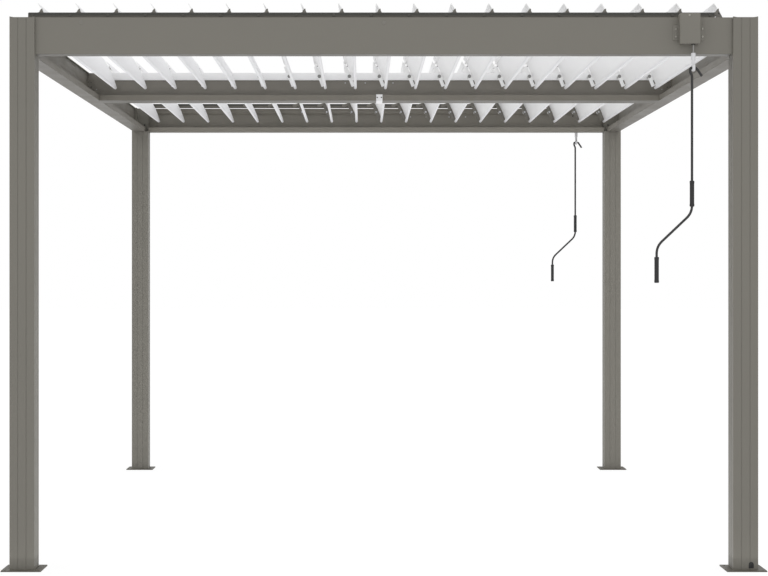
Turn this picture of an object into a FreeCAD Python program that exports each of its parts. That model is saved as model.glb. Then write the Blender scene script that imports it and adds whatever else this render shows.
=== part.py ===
import FreeCAD
import Part
import math
import os

# Louvered pergola: four posts carry a ring of gutter beams and a middle gutter beam.
# Two bays of louvers turn about pivots along Y, each bay joined by one link bar and
# turned by a worm gear box, an eye and a hooked crank.
# Millimetres, +Z up. The origin is on the ground at the middle of the plan.
# -Y is the front. The louvers are drawn open, as they stand in use.

# Driving dimensions: overall
WIDTH = 3000.0
DEPTH = 4000.0
POST_TOP = 2219.0

# Driving dimensions: posts
POST_SIZE = 100.0
POST_WALL = 3.0
GROOVE_WIDTH = 3.5
GROOVE_DEPTH = 1.2
GROOVE_SPACING = 34.0
CAP_THICKNESS = 3.0
CAP_CORNER_RISE = 3.0
CAP_CORNER_LEG = 16.0
POST_NOTCH_ROOM = 7.0
BASE_SIZE = 160.0
BASE_THICKNESS = 5.0
BASE_HOLE_SPACING = 130.0
BASE_HOLE_DIAMETER = 11.0
OUTLET_WIDTH = 20.0
OUTLET_HEIGHT = 25.0
OUTLET_RISE = 6.0
OUTLET_SHIFT = 22.0
OUTLET_THICKNESS = 2.0
OUTLET_STEPS = 8

# Driving dimensions: gutter beams
BEAM_BELOW_POST_TOP = 1.0
BEAM_HEIGHT = 146.0
BEAM_RECESS = 12.0
BEAM_SKIN = 3.0
GUTTER_WIDTH = 71.5
LIP_HEIGHT = 28.0
TOP_RETURN = 12.0
MIDDLE_WALL = 12.0
BRACKET_LEG = 36.0
BRACKET_HEIGHT = 50.0
BRACKET_SKIN = 4.0
CLIP_WIDTH = 32.0
CLIP_RISE = 31.0
CLIP_SKIN = 3.0

# Driving dimensions: pivots
PIVOT_BELOW_POST_TOP = 23.5
RAIL_THICKNESS = 8.0
RAIL_HEIGHT = 37.0
PIVOT_PIN_DIAMETER = 10.0
PIN_CLEARANCE = 0.4
PIN_SIDES = 6

# Driving dimensions: louver blades, in the blade's own section.
# "up" runs along the blade from the pivot to its thin edge, "out" is square to it.
LOUVER_PITCH = 152.0
LOUVER_TILT = 21.5
LEAST_SIDE_ROOM = 105.0
BLADE_EDGE_UP = 95.0
BLADE_BEAD_DOWN = 65.5
BLADE_BEAD_RADIUS = 7.5
BLADE_SKIN = 2.5
BLADE_BOW_RADIUS = 500.0
BLADE_CROWN_OUT = 16.0
BLADE_CROWN_UP = -14.0
RAIN_LIP_UP = 65.0
RAIN_LIP_REACH = -2.0
BLADE_OVER_GUTTER = 8.5
BLADE_CLEAR_OF_RAIL = 46.0
SKIN_STEPS = 3
BEAD_STEPS = 4

# Driving dimensions: louver end pieces
END_PLATE_THICKNESS = 6.0
END_PLATE_HALF = 54.5
END_PLATE_LEFT = 8.5
END_SLOT_LEFT = 9.0
END_SLOT_LOW = 22.0
END_SLOT_HIGH = 48.0
LEVER_SHOULDER_UP = 70.0
LEVER_SHOULDER_LEFT = 0.0
LEVER_END_RADIUS = 9.0
LEVER_END_STEPS = 3
LINK_SIDE = 50.0
LINK_RISE = 38.0
LINK_PIN_DIAMETER = 8.0
LINK_GAP = 6.0
LINK_BAR_THICKNESS = 5.0
LINK_BAR_HEIGHT = 25.0
LINK_BAR_END = 18.0
LINK_PIN_PROUD = 2.0

# Driving dimensions: gear boxes and cranks
DRIVE_LOUVER_FROM_END = 2
BOX_WIDTH = 81.0
BOX_HEIGHT = 122.0
BOX_DEPTH = 42.0
DRIVE_PIN_DEPTH = 10.5
BOX_ABOVE_BEAM = 14.0
BOX_SHIFT = 7.0
BOX_CORNER = 3.0
BOX_EAR_WIDTH = 22.0
BOX_EAR_HEIGHT = 62.0
BOX_EAR_BELOW_TOP = 44.0
BOX_EAR_THICKNESS = 3.0
WORM_SHIFT = 22.5
WORM_SHAFT_DIAMETER = 7.0
WORM_SHAFT_BARE = 36.0
WORM_SHAFT_INSIDE = 12.0
SOCKET_DIAMETER = 18.0
SOCKET_FOOT_DIAMETER = 15.5
SOCKET_HEIGHT = 28.0
EYE_THICKNESS = 12.0
EYE_RADIUS = 16.0
EYE_HOLE_DIAMETER = 15.0
EYE_NECK = 14.0
ROUND_SIDES = 12
ROD_DIAMETER = 10.0
ROD_SIDES = 8
BEND_STEPS = 2
HOOK_EASE = 5.0
ARM_EASE = 30.0
ROD_SEAT = 0.5
ROD_SHIFT = -5.5
HOOK_RIGHT = 6.0
HOOK_LEFT = 7.0
HOOK_DROP = 16.0
HOOK_JOG = 30.0
HOOK_POINT_SIDE = 34.0
HOOK_POINT_DROP = 33.0
UPPER_GRIP_TOP = 1563.0
GRIP_LENGTH = 104.0
GRIP_DIAMETER = 19.0
CRANK_ARM_TOP = 1434.0
CRANK_ARM_DROP = 134.0
CRANK_RADIUS = 141.5
LOWER_GRIP_GAP = 42.0

# Places worked out from the driving dimensions
beam_top = POST_TOP - BEAM_BELOW_POST_TOP
beam_bottom = beam_top - BEAM_HEIGHT
lip_top = beam_bottom + LIP_HEIGHT
pivot_height = POST_TOP - PIVOT_BELOW_POST_TOP
post_x = WIDTH / 2 - POST_SIZE / 2
post_y = DEPTH / 2 - POST_SIZE / 2
inner_x = WIDTH / 2 - POST_SIZE
inner_y = DEPTH / 2 - POST_SIZE
outer_wall_x = WIDTH / 2 - BEAM_RECESS
outer_wall_y = DEPTH / 2 - BEAM_RECESS
wall_inside_x = outer_wall_x - BEAM_SKIN
wall_inside_y = outer_wall_y - BEAM_SKIN
lip_x = outer_wall_x - GUTTER_WIDTH
lip_y = outer_wall_y - GUTTER_WIDTH
outer_rail_y = wall_inside_y - RAIL_THICKNESS
inner_rail_y = MIDDLE_WALL / 2 + RAIL_THICKNESS
blade_outer_y = lip_y + BLADE_OVER_GUTTER
blade_inner_y = inner_rail_y + BLADE_CLEAR_OF_RAIL
outer_plate_y = blade_outer_y + END_PLATE_THICKNESS
link_bar_y = outer_plate_y + LINK_GAP
pivot_bore = PIVOT_PIN_DIAMETER + 2 * PIN_CLEARANCE
link_bore = LINK_PIN_DIAMETER + 2 * PIN_CLEARANCE
louver_count = 1 + int((2 * wall_inside_x - 2 * LEAST_SIDE_ROOM) / LOUVER_PITCH)
first_pivot_x = -LOUVER_PITCH * (louver_count - 1) / 2
notch_x = BLADE_EDGE_UP - first_pivot_x + POST_NOTCH_ROOM
notch_y = link_bar_y + LINK_BAR_THICKNESS + POST_NOTCH_ROOM
drive_index = louver_count - DRIVE_LOUVER_FROM_END
drive_x = first_pivot_x + drive_index * LOUVER_PITCH
box_x = drive_x + BOX_SHIFT
box_top = beam_top + BOX_ABOVE_BEAM
box_bottom = box_top - BOX_HEIGHT
worm_x = drive_x + WORM_SHIFT
worm_y = outer_wall_y + BOX_DEPTH / 2
socket_top = box_bottom - WORM_SHAFT_BARE
socket_bottom = socket_top - SOCKET_HEIGHT
eye_height = socket_bottom - EYE_NECK - EYE_RADIUS
rod_height = eye_height - EYE_HOLE_DIAMETER / 2 + ROD_DIAMETER / 2 + ROD_SEAT


def box(low, high):
    """A block between two opposite corners."""
    size = [high[i] - low[i] for i in range(3)]
    return Part.makeBox(size[0], size[1], size[2], FreeCAD.Vector(*low))


def rod_along(axis, radius, start, length):
    """A round rod that starts at a point and runs along an axis."""
    return Part.makeCylinder(radius, length, FreeCAD.Vector(*start), FreeCAD.Vector(*axis))


def prism(points, direction):
    """A closed outline swept straight along a vector."""
    face = Part.Face(Part.makePolygon([FreeCAD.Vector(*p) for p in points + points[:1]]))
    return face.extrude(FreeCAD.Vector(*direction))


def mirrored_y(shape):
    """The same piece on the other side of the middle beam."""
    return shape.mirror(FreeCAD.Vector(0, 0, 0), FreeCAD.Vector(0, 1, 0))


def mirrored_x(shape):
    """The same piece on the other side of the plan's middle."""
    return shape.mirror(FreeCAD.Vector(0, 0, 0), FreeCAD.Vector(1, 0, 0))


def four_corners(shape):
    """A corner piece repeated at all four corners."""
    pair = [shape, mirrored_x(shape)]
    return pair + [mirrored_y(piece) for piece in pair]


def export(name, *solids):
    """Write one node, whole or as solids that stand apart."""
    shape = solids[0] if len(solids) == 1 else Part.makeCompound(list(solids))
    shape.exportStep("parts/" + name + ".step")


def post_section(half):
    """The post's outer outline, with two narrow grooves in each face."""
    points = []
    for quarter in range(4):
        angle = math.radians(90 * quarter)
        side = [(-half, -half)]
        for centre in (-GROOVE_SPACING / 2, GROOVE_SPACING / 2):
            left = centre - GROOVE_WIDTH / 2
            right = centre + GROOVE_WIDTH / 2
            side += [(left, -half), (left, -half + GROOVE_DEPTH)]
            side += [(right, -half + GROOVE_DEPTH), (right, -half)]
        for x, y in side:
            points.append((x * math.cos(angle) - y * math.sin(angle),
                           x * math.sin(angle) + y * math.cos(angle), BASE_THICKNESS))
    return points


def post_notch():
    """The room cut into the front right post inside the gutters, for drain water and louvers."""
    return box((inner_x - 1, -notch_y, beam_bottom + BEAM_SKIN),
               (notch_x, 1 - inner_y, POST_TOP + CAP_CORNER_RISE + 1))


def post():
    """The front right post: hollow, grooved, and open to the gutters at its inner corner."""
    height = POST_TOP - CAP_THICKNESS - BASE_THICKNESS
    outside = prism(post_section(POST_SIZE / 2), (0, 0, height))
    bore_half = POST_SIZE / 2 - POST_WALL
    hollow = box((-bore_half, -bore_half, BASE_THICKNESS),
                 (bore_half, bore_half, BASE_THICKNESS + height))
    tube = outside.cut(hollow)
    tube.translate(FreeCAD.Vector(post_x, -post_y, 0))
    return tube.cut(post_notch())


def post_cap():
    """A flat cap whose corners rise a little, notched like its post, on the front right post."""
    half = POST_SIZE / 2
    seat = POST_TOP - CAP_THICKNESS
    cap = box((-half, -half, seat), (half, half, POST_TOP))
    for sx in (-1, 1):
        for sy in (-1, 1):
            corner = (sx * half, sy * half, POST_TOP)
            along_x = (sx * (half - CAP_CORNER_LEG), sy * half, POST_TOP)
            along_y = (sx * half, sy * (half - CAP_CORNER_LEG), POST_TOP)
            peak = (sx * half, sy * half, POST_TOP + CAP_CORNER_RISE)
            cap = cap.fuse(tetrahedron(corner, along_x, along_y, peak))
    cap = cap.removeSplitter()
    cap.translate(FreeCAD.Vector(post_x, -post_y, 0))
    return cap.cut(post_notch())


def tetrahedron(a, b, c, d):
    """A solid with four triangular faces."""
    corners = [FreeCAD.Vector(*p) for p in (a, b, c, d)]
    faces = []
    for skip in range(4):
        kept = [corners[i] for i in range(4) if i != skip]
        faces.append(Part.Face(Part.makePolygon(kept + kept[:1])))
    solid = Part.makeSolid(Part.makeShell(faces))
    if solid.Volume < 0:
        solid.reverse()
    return solid


def base_plate():
    """The bolted foot plate of the front right post."""
    half = BASE_SIZE / 2
    plate = box((post_x - half, -post_y - half, 0), (post_x + half, -post_y + half, BASE_THICKNESS))
    reach = BASE_HOLE_SPACING / 2
    for sx in (-reach, reach):
        for sy in (-reach, reach):
            start = (post_x + sx, -post_y + sy, -1)
            plate = plate.cut(rod_along((0, 0, 1), BASE_HOLE_DIAMETER / 2, start, BASE_THICKNESS + 2))
    return plate


def drain_outlet():
    """The arched outlet low on the front right post's front face."""
    half = OUTLET_WIDTH / 2
    low = BASE_THICKNESS + OUTLET_RISE
    x = post_x + OUTLET_SHIFT
    outline = [(x - half, low), (x + half, low)]
    outline += rounding(x, low + OUTLET_HEIGHT - half, half, 0, 180, OUTLET_STEPS)
    return prism([(px, -DEPTH / 2, pz) for px, pz in outline], (0, -OUTLET_THICKNESS, 0))


def gutter_section(wall_outside):
    """Beam outline as (across, height): outer wall, gutter floor, inner lip and top return."""
    lip = wall_outside - GUTTER_WIDTH
    inside = wall_outside - BEAM_SKIN
    return [(wall_outside, beam_bottom), (wall_outside, beam_top),
            (wall_outside - TOP_RETURN, beam_top), (wall_outside - TOP_RETURN, beam_top - BEAM_SKIN),
            (inside, beam_top - BEAM_SKIN), (inside, beam_bottom + BEAM_SKIN),
            (lip + BEAM_SKIN, beam_bottom + BEAM_SKIN), (lip + BEAM_SKIN, lip_top),
            (lip, lip_top), (lip, beam_bottom)]


def cross_beam():
    """The back gutter beam, bored where the driving louver's pin reaches the gear box."""
    points = [(-inner_x, across, height) for across, height in gutter_section(outer_wall_y)]
    beam = prism(points, (2 * inner_x, 0, 0))
    return beam.cut(bore(drive_x, pivot_height, pivot_bore, wall_inside_y - 1, BEAM_SKIN + 2))


def side_beam():
    """The right gutter beam."""
    points = [(across, -inner_y, height) for across, height in gutter_section(outer_wall_x)]
    return prism(points, (0, 2 * inner_y, 0))


def middle_half():
    """The back half of the middle beam: a gutter whose wall runs on over the side gutters."""
    wall = MIDDLE_WALL / 2
    floor = beam_bottom + BEAM_SKIN
    lip = GUTTER_WIDTH - BEAM_SKIN
    outline = [(0, beam_bottom), (0, beam_top), (wall, beam_top), (wall, floor), (lip, floor),
               (lip, lip_top), (GUTTER_WIDTH, lip_top), (GUTTER_WIDTH, beam_bottom)]
    beam = prism([(-lip_x, across, height) for across, height in outline], (2 * lip_x, 0, 0))
    return_x = outer_wall_x - TOP_RETURN
    run_on = box((lip_x, 0, lip_top), (return_x, wall, beam_top))
    end = box((return_x, 0, lip_top), (wall_inside_x, wall, beam_top - BEAM_SKIN))
    pieces = [run_on, end, mirrored_x(run_on), mirrored_x(end)]
    return beam.multiFuse(pieces).removeSplitter()


def beam_bracket():
    """The angle that holds the middle beam's wall to the right beam, on its back side."""
    wall = MIDDLE_WALL / 2
    low = lip_top + (beam_top - BEAM_SKIN - lip_top - BRACKET_HEIGHT) / 2
    corner_x = wall_inside_x
    points = [(corner_x, wall), (corner_x - BRACKET_LEG, wall),
              (corner_x - BRACKET_LEG, wall + BRACKET_SKIN),
              (corner_x - BRACKET_SKIN, wall + BRACKET_SKIN),
              (corner_x - BRACKET_SKIN, wall + BRACKET_LEG), (corner_x, wall + BRACKET_LEG)]
    return prism([(x, y, low) for x, y in points], (0, 0, BRACKET_HEIGHT))


def centre_clip():
    """The clip under the middle beam, at its middle: a U-shaped strap that hooks over both lips."""
    half = CLIP_WIDTH / 2
    high = beam_bottom + CLIP_RISE
    outline = [(0, beam_bottom - CLIP_SKIN), (GUTTER_WIDTH + CLIP_SKIN, beam_bottom - CLIP_SKIN),
               (GUTTER_WIDTH + CLIP_SKIN, high), (GUTTER_WIDTH - BEAM_SKIN, high),
               (GUTTER_WIDTH - BEAM_SKIN, lip_top), (GUTTER_WIDTH, lip_top),
               (GUTTER_WIDTH, beam_bottom), (0, beam_bottom)]
    back = prism([(-half, across, height) for across, height in outline], (CLIP_WIDTH, 0, 0))
    return back.fuse(mirrored_y(back)).removeSplitter()


def pivot_rail(face_y):
    """A bored strip that takes the pivot pins, from face_y outwards, at the front of Y = 0."""
    low = (-inner_x, face_y, beam_top - RAIL_HEIGHT)
    high = (inner_x, face_y + RAIL_THICKNESS, beam_top - BEAM_SKIN)
    rail = box(low, high)
    for index in range(louver_count):
        x = first_pivot_x + index * LOUVER_PITCH
        rail = rail.cut(bore(x, pivot_height, pivot_bore, face_y - 1, RAIL_THICKNESS + 2))
    return rail


def skin_out(up, offset):
    """How far out the bowed skin lies at a height along the blade, shifted by an offset."""
    radius = BLADE_BOW_RADIUS + offset
    rise = up - BLADE_CROWN_UP
    return BLADE_CROWN_OUT - BLADE_BOW_RADIUS + math.sqrt(radius * radius - rise * rise)


def skin_line(low, high, offset, steps):
    """Points (out, up) along the bowed skin, from one height to another."""
    heights = [low + (high - low) * step / steps for step in range(steps + 1)]
    return [(skin_out(up, offset), up) for up in heights]


def rounding(out, up, radius, first, last, steps):
    """Points (out, up) along an arc round a centre, between two angles in degrees from 'out'."""
    angles = [math.radians(first + (last - first) * step / steps) for step in range(steps + 1)]
    return [(out + radius * math.cos(a), up + radius * math.sin(a)) for a in angles]


def along_pivot(outline, start, length):
    """An outline of (out, up) points made solid along the pivot axis."""
    return prism([(out, start, up) for out, up in outline], (0, length, 0))


def pin(out, up, diameter, start, length):
    """A pin along the pivot axis, with few sides because it repeats: corners on the round."""
    outline = rounding(out, up, diameter / 2, 0, 360, PIN_SIDES)
    return along_pivot(outline[:-1], start, length)


def bore(out, up, diameter, start, length):
    """A bore along the pivot axis, with few sides because it repeats: flats on the round."""
    radius = diameter / 2 / math.cos(math.pi / PIN_SIDES)
    outline = rounding(out, up, radius, 0, 360, PIN_SIDES)
    return along_pivot(outline[:-1], start, length)


def blade_outline():
    """The louver's section: bowed skin, round bead below, rain lip and thin edge above."""
    half = BLADE_SKIN / 2
    bead_up = -BLADE_BEAD_DOWN
    bead_out = skin_out(bead_up, half) - BLADE_BEAD_RADIUS
    bead_top = bead_up + BLADE_BEAD_RADIUS
    lip_low = RAIN_LIP_UP - half
    lip_high = RAIN_LIP_UP + half
    points = skin_line(bead_up, BLADE_EDGE_UP, half, SKIN_STEPS)
    points += skin_line(BLADE_EDGE_UP, lip_high, -half, 1)
    points += [(RAIN_LIP_REACH, lip_high), (RAIN_LIP_REACH, lip_low)]
    points += skin_line(lip_low, bead_top, -half, SKIN_STEPS - 1)
    points += rounding(bead_out, bead_up, BLADE_BEAD_RADIUS, 90, 315, BEAD_STEPS)
    return points


def inner_end_plate():
    """The pale end plate: a bar across the pivot, with an open slot above and below it."""
    left = -END_PLATE_LEFT
    half = END_PLATE_HALF
    outline = [(left, half), (left, -half), (skin_out(-half, 0), -half)]
    for low, high in ((-END_SLOT_HIGH, -END_SLOT_LOW), (END_SLOT_LOW, END_SLOT_HIGH)):
        outline += [(skin_out(low, 0), low), (END_SLOT_LEFT, low)]
        outline += [(END_SLOT_LEFT, high), (skin_out(high, 0), high)]
    outline.append((skin_out(half, 0), half))
    return along_pivot(outline, blade_inner_y - END_PLATE_THICKNESS, END_PLATE_THICKNESS)


def link_point():
    """Where the link pin stands, in the blade's own section, as (out, up)."""
    tilt = math.radians(LOUVER_TILT)
    out = -LINK_SIDE * math.cos(tilt) + LINK_RISE * math.sin(tilt)
    up = LINK_SIDE * math.sin(tilt) + LINK_RISE * math.cos(tilt)
    return out, up


def lever_plate():
    """The dark outer end plate with the lever arm that the link bar pulls."""
    out, up = link_point()
    left = -END_PLATE_LEFT
    foot = -END_PLATE_HALF
    outline = skin_line(foot, LEVER_SHOULDER_UP, 0, SKIN_STEPS - 1)
    outline += [(LEVER_SHOULDER_LEFT, LEVER_SHOULDER_UP), (left, up + LEVER_END_RADIUS)]
    outline += rounding(out, up, LEVER_END_RADIUS, 90, 270, LEVER_END_STEPS)
    outline += [(left, up - 2 * LEVER_END_RADIUS), (left, foot)]
    return along_pivot(outline, blade_outer_y, END_PLATE_THICKNESS)


def louver(pivot_x, outer_pin_end):
    """One back louver with its end plates and pins, fused and tilted open."""
    blade = along_pivot(blade_outline(), blade_inner_y, blade_outer_y - blade_inner_y)
    inner_end = MIDDLE_WALL / 2 + PIN_CLEARANCE
    inner_start = blade_inner_y - END_PLATE_THICKNESS
    inner_pin = pin(0, 0, PIVOT_PIN_DIAMETER, inner_end, inner_start - inner_end)
    outer_pin = pin(0, 0, PIVOT_PIN_DIAMETER, outer_plate_y, outer_pin_end - outer_plate_y)
    out, up = link_point()
    reach = link_bar_y + LINK_BAR_THICKNESS + LINK_PIN_PROUD - outer_plate_y
    link_pin = pin(out, up, LINK_PIN_DIAMETER, outer_plate_y, reach)
    whole = blade.multiFuse([inner_end_plate(), lever_plate(), inner_pin, outer_pin, link_pin])
    whole = whole.removeSplitter()
    whole.rotate(FreeCAD.Vector(0, 0, 0), FreeCAD.Vector(0, 1, 0), -LOUVER_TILT)
    whole.translate(FreeCAD.Vector(pivot_x, 0, pivot_height))
    return whole


def link_bar():
    """The back bay's flat link bar, bored for one link pin a louver."""
    first = first_pivot_x - LINK_SIDE
    last = -first_pivot_x - LINK_SIDE
    centre = pivot_height + LINK_RISE
    half = LINK_BAR_HEIGHT / 2
    low = (first - LINK_BAR_END, link_bar_y, centre - half)
    high = (last + LINK_BAR_END, link_bar_y + LINK_BAR_THICKNESS, centre + half)
    bar = box(low, high)
    for index in range(louver_count):
        x = first + index * LOUVER_PITCH
        bar = bar.cut(bore(x, centre, link_bore, link_bar_y - 1, LINK_BAR_THICKNESS + 2))
    return bar


def gear_box():
    """The back gear box: a closed housing with two screwed ears, bored for pin and shaft."""
    half = BOX_WIDTH / 2
    face_y = outer_wall_y + BOX_DEPTH
    housing = box((box_x - half, outer_wall_y, box_bottom), (box_x + half, face_y, box_top))
    face_edges = [edge for edge in housing.Edges if abs(edge.CenterOfMass.y - face_y) < 1]
    housing = housing.makeChamfer(BOX_CORNER, face_edges)
    ear_top = box_top - BOX_EAR_BELOW_TOP
    ears = box((box_x - half - BOX_EAR_WIDTH, outer_wall_y, ear_top - BOX_EAR_HEIGHT),
               (box_x + half + BOX_EAR_WIDTH, outer_wall_y + BOX_EAR_THICKNESS, ear_top))
    housing = housing.fuse(ears)
    housing = housing.cut(bore(drive_x, pivot_height, pivot_bore, outer_wall_y - 1,
                               DRIVE_PIN_DEPTH + 1))
    shaft_bore = (WORM_SHAFT_DIAMETER / 2 + PIN_CLEARANCE) / math.cos(math.pi / ROUND_SIDES)
    housing = housing.cut(upright(shaft_bore, box_bottom - 1, box_bottom + WORM_SHAFT_INSIDE))
    return housing.removeSplitter()


def upright(radius, low, high):
    """A many-sided column on the worm's axis."""
    outline = rounding(worm_x, worm_y, radius, 0, 360, ROUND_SIDES)
    return prism([(x, y, low) for x, y in outline[:-1]], (0, 0, high - low))


def taper(low_radius, high_radius, low, high):
    """A many-sided column on the worm's axis that widens upwards."""
    wires = []
    for radius, height in ((low_radius, low), (high_radius, high)):
        outline = rounding(worm_x, worm_y, radius, 0, 360, ROUND_SIDES)
        wires.append(Part.makePolygon([FreeCAD.Vector(x, y, height) for x, y in outline]))
    return Part.makeLoft(wires, True, True)


def disc(radius, thickness):
    """A many-sided disc across the worm's axis, square to X, at the eye's height."""
    outline = rounding(worm_y, eye_height, radius, 0, 360, ROUND_SIDES)
    start = worm_x - thickness / 2
    return prism([(start, y, z) for y, z in outline[:-1]], (thickness, 0, 0))


def crank_eye():
    """The worm's shaft end with its tapered socket and the eye that the crank hooks into."""
    shaft_top = box_bottom + WORM_SHAFT_INSIDE - PIN_CLEARANCE
    shaft = upright(WORM_SHAFT_DIAMETER / 2, socket_top - 1, shaft_top)
    socket = taper(SOCKET_FOOT_DIAMETER / 2, SOCKET_DIAMETER / 2, socket_bottom, socket_top)
    half = EYE_THICKNESS / 2
    neck = box((worm_x - half, worm_y - half, eye_height + EYE_RADIUS / 2),
               (worm_x + half, worm_y + half, socket_bottom + 1))
    hole_radius = EYE_HOLE_DIAMETER / 2 / math.cos(math.pi / ROUND_SIDES)
    whole = shaft.multiFuse([socket, neck, disc(EYE_RADIUS, EYE_THICKNESS)])
    return whole.cut(disc(hole_radius, EYE_THICKNESS + 2)).removeSplitter()


def eased_path(corners):
    """The line through the corners (x, z, ease), with each inner corner eased into a curve."""
    path = [corners[0][:2]]
    for before, corner, after in zip(corners[:-2], corners[1:-1], corners[2:]):
        enter = toward(corner, before, corner[2])
        leave = toward(corner, after, corner[2])
        for step in range(BEND_STEPS + 1):
            share = step / BEND_STEPS
            path.append(toward_share(toward_share(enter, corner, share),
                                     toward_share(corner, leave, share), share))
    return path + [corners[-1][:2]]


def toward(start, end, length):
    """The point a length away from start on the way to end."""
    return toward_share(start, end, length / math.dist(start[:2], end[:2]))


def toward_share(start, end, share):
    """The point at a share of the way from start to end."""
    return (start[0] + (end[0] - start[0]) * share, start[1] + (end[1] - start[1]) * share)


def bent_bar(path, y, radius):
    """A few-sided bar along a path (x, z) at one depth, mitred at every point."""
    rings = []
    for index, (x, z) in enumerate(path):
        ahead = path[min(index + 1, len(path) - 1)]
        behind = path[max(index - 1, 0)]
        way_in = math.atan2(z - behind[1], x - behind[0]) if index else None
        way_out = math.atan2(ahead[1] - z, ahead[0] - x) if index < len(path) - 1 else way_in
        way_in = way_out if way_in is None else way_in
        turn = math.remainder(way_out - way_in, 2 * math.pi)
        way = way_in + turn / 2
        wide = radius / math.cos(turn / 2)
        ring = []
        for side in range(ROD_SIDES):
            angle = 2 * math.pi * (side + 0.5) / ROD_SIDES
            across = wide * math.cos(angle)
            ring.append(FreeCAD.Vector(x - across * math.sin(way), y + radius * math.sin(angle),
                                       z + across * math.cos(way)))
        rings.append(ring)
    faces = [rings[0], rings[-1]]
    for low, high in zip(rings[:-1], rings[1:]):
        for side in range(ROD_SIDES):
            following = (side + 1) % ROD_SIDES
            faces.append([low[side], low[following], high[following], high[side]])
    shell = Part.makeShell([Part.Face(Part.makePolygon(face + face[:1])) for face in faces])
    solid = Part.makeSolid(shell)
    if solid.Volume < 0:
        solid.reverse()
    return solid


def grip(x, top):
    """A round handgrip, many-sided, hung from a height."""
    outline = rounding(x, worm_y, GRIP_DIAMETER / 2, 0, 360, ROUND_SIDES)
    return prism([(px, py, top) for px, py in outline[:-1]], (0, 0, -GRIP_LENGTH))


def crank_handle():
    """The back crank: a hook through the eye, a long rod, an offset arm and two grips."""
    rod_x = worm_x + ROD_SHIFT
    grip_x = rod_x - CRANK_RADIUS
    arm_foot = CRANK_ARM_TOP - CRANK_ARM_DROP
    lower_top = arm_foot - LOWER_GRIP_GAP
    hook_left = worm_x - EYE_THICKNESS / 2 - HOOK_LEFT
    hook_right = worm_x + EYE_THICKNESS / 2 + HOOK_RIGHT
    corners = [(worm_x + HOOK_POINT_SIDE, rod_height - HOOK_POINT_DROP, 0),
               (hook_right, rod_height, HOOK_EASE),
               (hook_left, rod_height, HOOK_EASE),
               (hook_left, rod_height - HOOK_DROP, HOOK_EASE),
               (rod_x, rod_height - HOOK_JOG, HOOK_EASE),
               (rod_x, CRANK_ARM_TOP, ARM_EASE),
               (grip_x, arm_foot, ARM_EASE),
               (grip_x, lower_top - GRIP_LENGTH / 2, 0)]
    bar = bent_bar(eased_path(corners), worm_y, ROD_DIAMETER / 2)
    grips = [grip(rod_x, UPPER_GRIP_TOP), grip(grip_x, lower_top)]
    return bar.multiFuse(grips).removeSplitter()


def build_frame():
    """Everything that stands still."""
    names = ("post_front_right", "post_front_left", "post_back_right", "post_back_left")
    for name, piece in zip(names, four_corners(post())):
        export(name, piece)
    export("post_caps", *four_corners(post_cap()))
    export("base_plates", *four_corners(base_plate()))
    export("drain_outlet", drain_outlet())
    back = cross_beam()
    export("beam_back", back)
    export("beam_front", mirrored_y(back))
    right = side_beam()
    export("beam_right", right)
    export("beam_left", mirrored_x(right))
    half = middle_half()
    export("beam_middle", half, mirrored_y(half))
    export("beam_brackets", *four_corners(beam_bracket()))
    export("centre_clip", centre_clip())
    outer = pivot_rail(outer_rail_y)
    inner = pivot_rail(MIDDLE_WALL / 2)
    export("pivot_rails", outer, mirrored_y(outer), inner, mirrored_y(inner))
    housing = gear_box()
    export("gear_boxes", housing, mirrored_y(housing))


def build_bays():
    """Louvers, link bars and cranks of the back bay, mirrored to the front bay."""
    plain_end = wall_inside_y - PIN_CLEARANCE
    drive_end = outer_wall_y + DRIVE_PIN_DEPTH - PIN_CLEARANCE
    plain = louver(0, plain_end)
    driven = louver(0, drive_end)
    for index in range(louver_count):
        piece = (driven if index == drive_index else plain).copy()
        piece.translate(FreeCAD.Vector(first_pivot_x + index * LOUVER_PITCH, 0, 0))
        number = "%02d" % (index + 1)
        export("louver_back_" + number, piece)
        export("louver_front_" + number, mirrored_y(piece))
    for name, piece in (("link_bar", link_bar()), ("crank_eye", crank_eye()),
                        ("crank_handle", crank_handle())):
        export(name + "_back", piece)
        export(name + "_front", mirrored_y(piece))


os.makedirs("parts", exist_ok=True)
build_frame()
build_bays()
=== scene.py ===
import math

import bpy
import numpy as np
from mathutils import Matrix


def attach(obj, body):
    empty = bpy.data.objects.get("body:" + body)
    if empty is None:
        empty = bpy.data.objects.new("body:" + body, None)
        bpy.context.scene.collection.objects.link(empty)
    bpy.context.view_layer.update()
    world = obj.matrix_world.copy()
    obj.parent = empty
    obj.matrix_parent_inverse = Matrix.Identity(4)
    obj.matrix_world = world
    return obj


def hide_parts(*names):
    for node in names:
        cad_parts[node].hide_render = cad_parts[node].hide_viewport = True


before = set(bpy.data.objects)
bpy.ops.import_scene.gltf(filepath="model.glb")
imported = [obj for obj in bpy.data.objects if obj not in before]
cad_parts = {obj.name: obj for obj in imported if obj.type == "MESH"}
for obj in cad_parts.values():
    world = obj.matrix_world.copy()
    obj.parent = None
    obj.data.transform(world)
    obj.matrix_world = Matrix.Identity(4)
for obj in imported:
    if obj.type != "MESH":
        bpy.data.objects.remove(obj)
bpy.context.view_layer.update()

# Louvered pergola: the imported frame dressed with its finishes, smooth louvers, cranks and
# small fasteners. Metres, +Z up, -Y is the front. The back bay is drawn, and the front bay
# is its mirror image.

# Sizes that the frame has
BEAM_TOP = 2.218
BEAM_BOTTOM = 2.072
BEAM_FACE = 1.988
POST_FACE = 2.000
WALL_INSIDE = 1.985
LIP_FACE = 0.0715
PIVOT_HEIGHT = 2.1955
FIRST_PIVOT = -1.368
PITCH = 0.152
LOUVERS = 19
PIVOTS = [FIRST_PIVOT + PITCH * place for place in range(LOUVERS)]
DRIVEN = 18
DRIVE_X = PIVOTS[DRIVEN - 1]
TILT = math.radians(21.5)
MIDDLE_WALL = 0.006
INNER_RAIL = 0.014
OUTER_RAIL = 1.977

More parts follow.
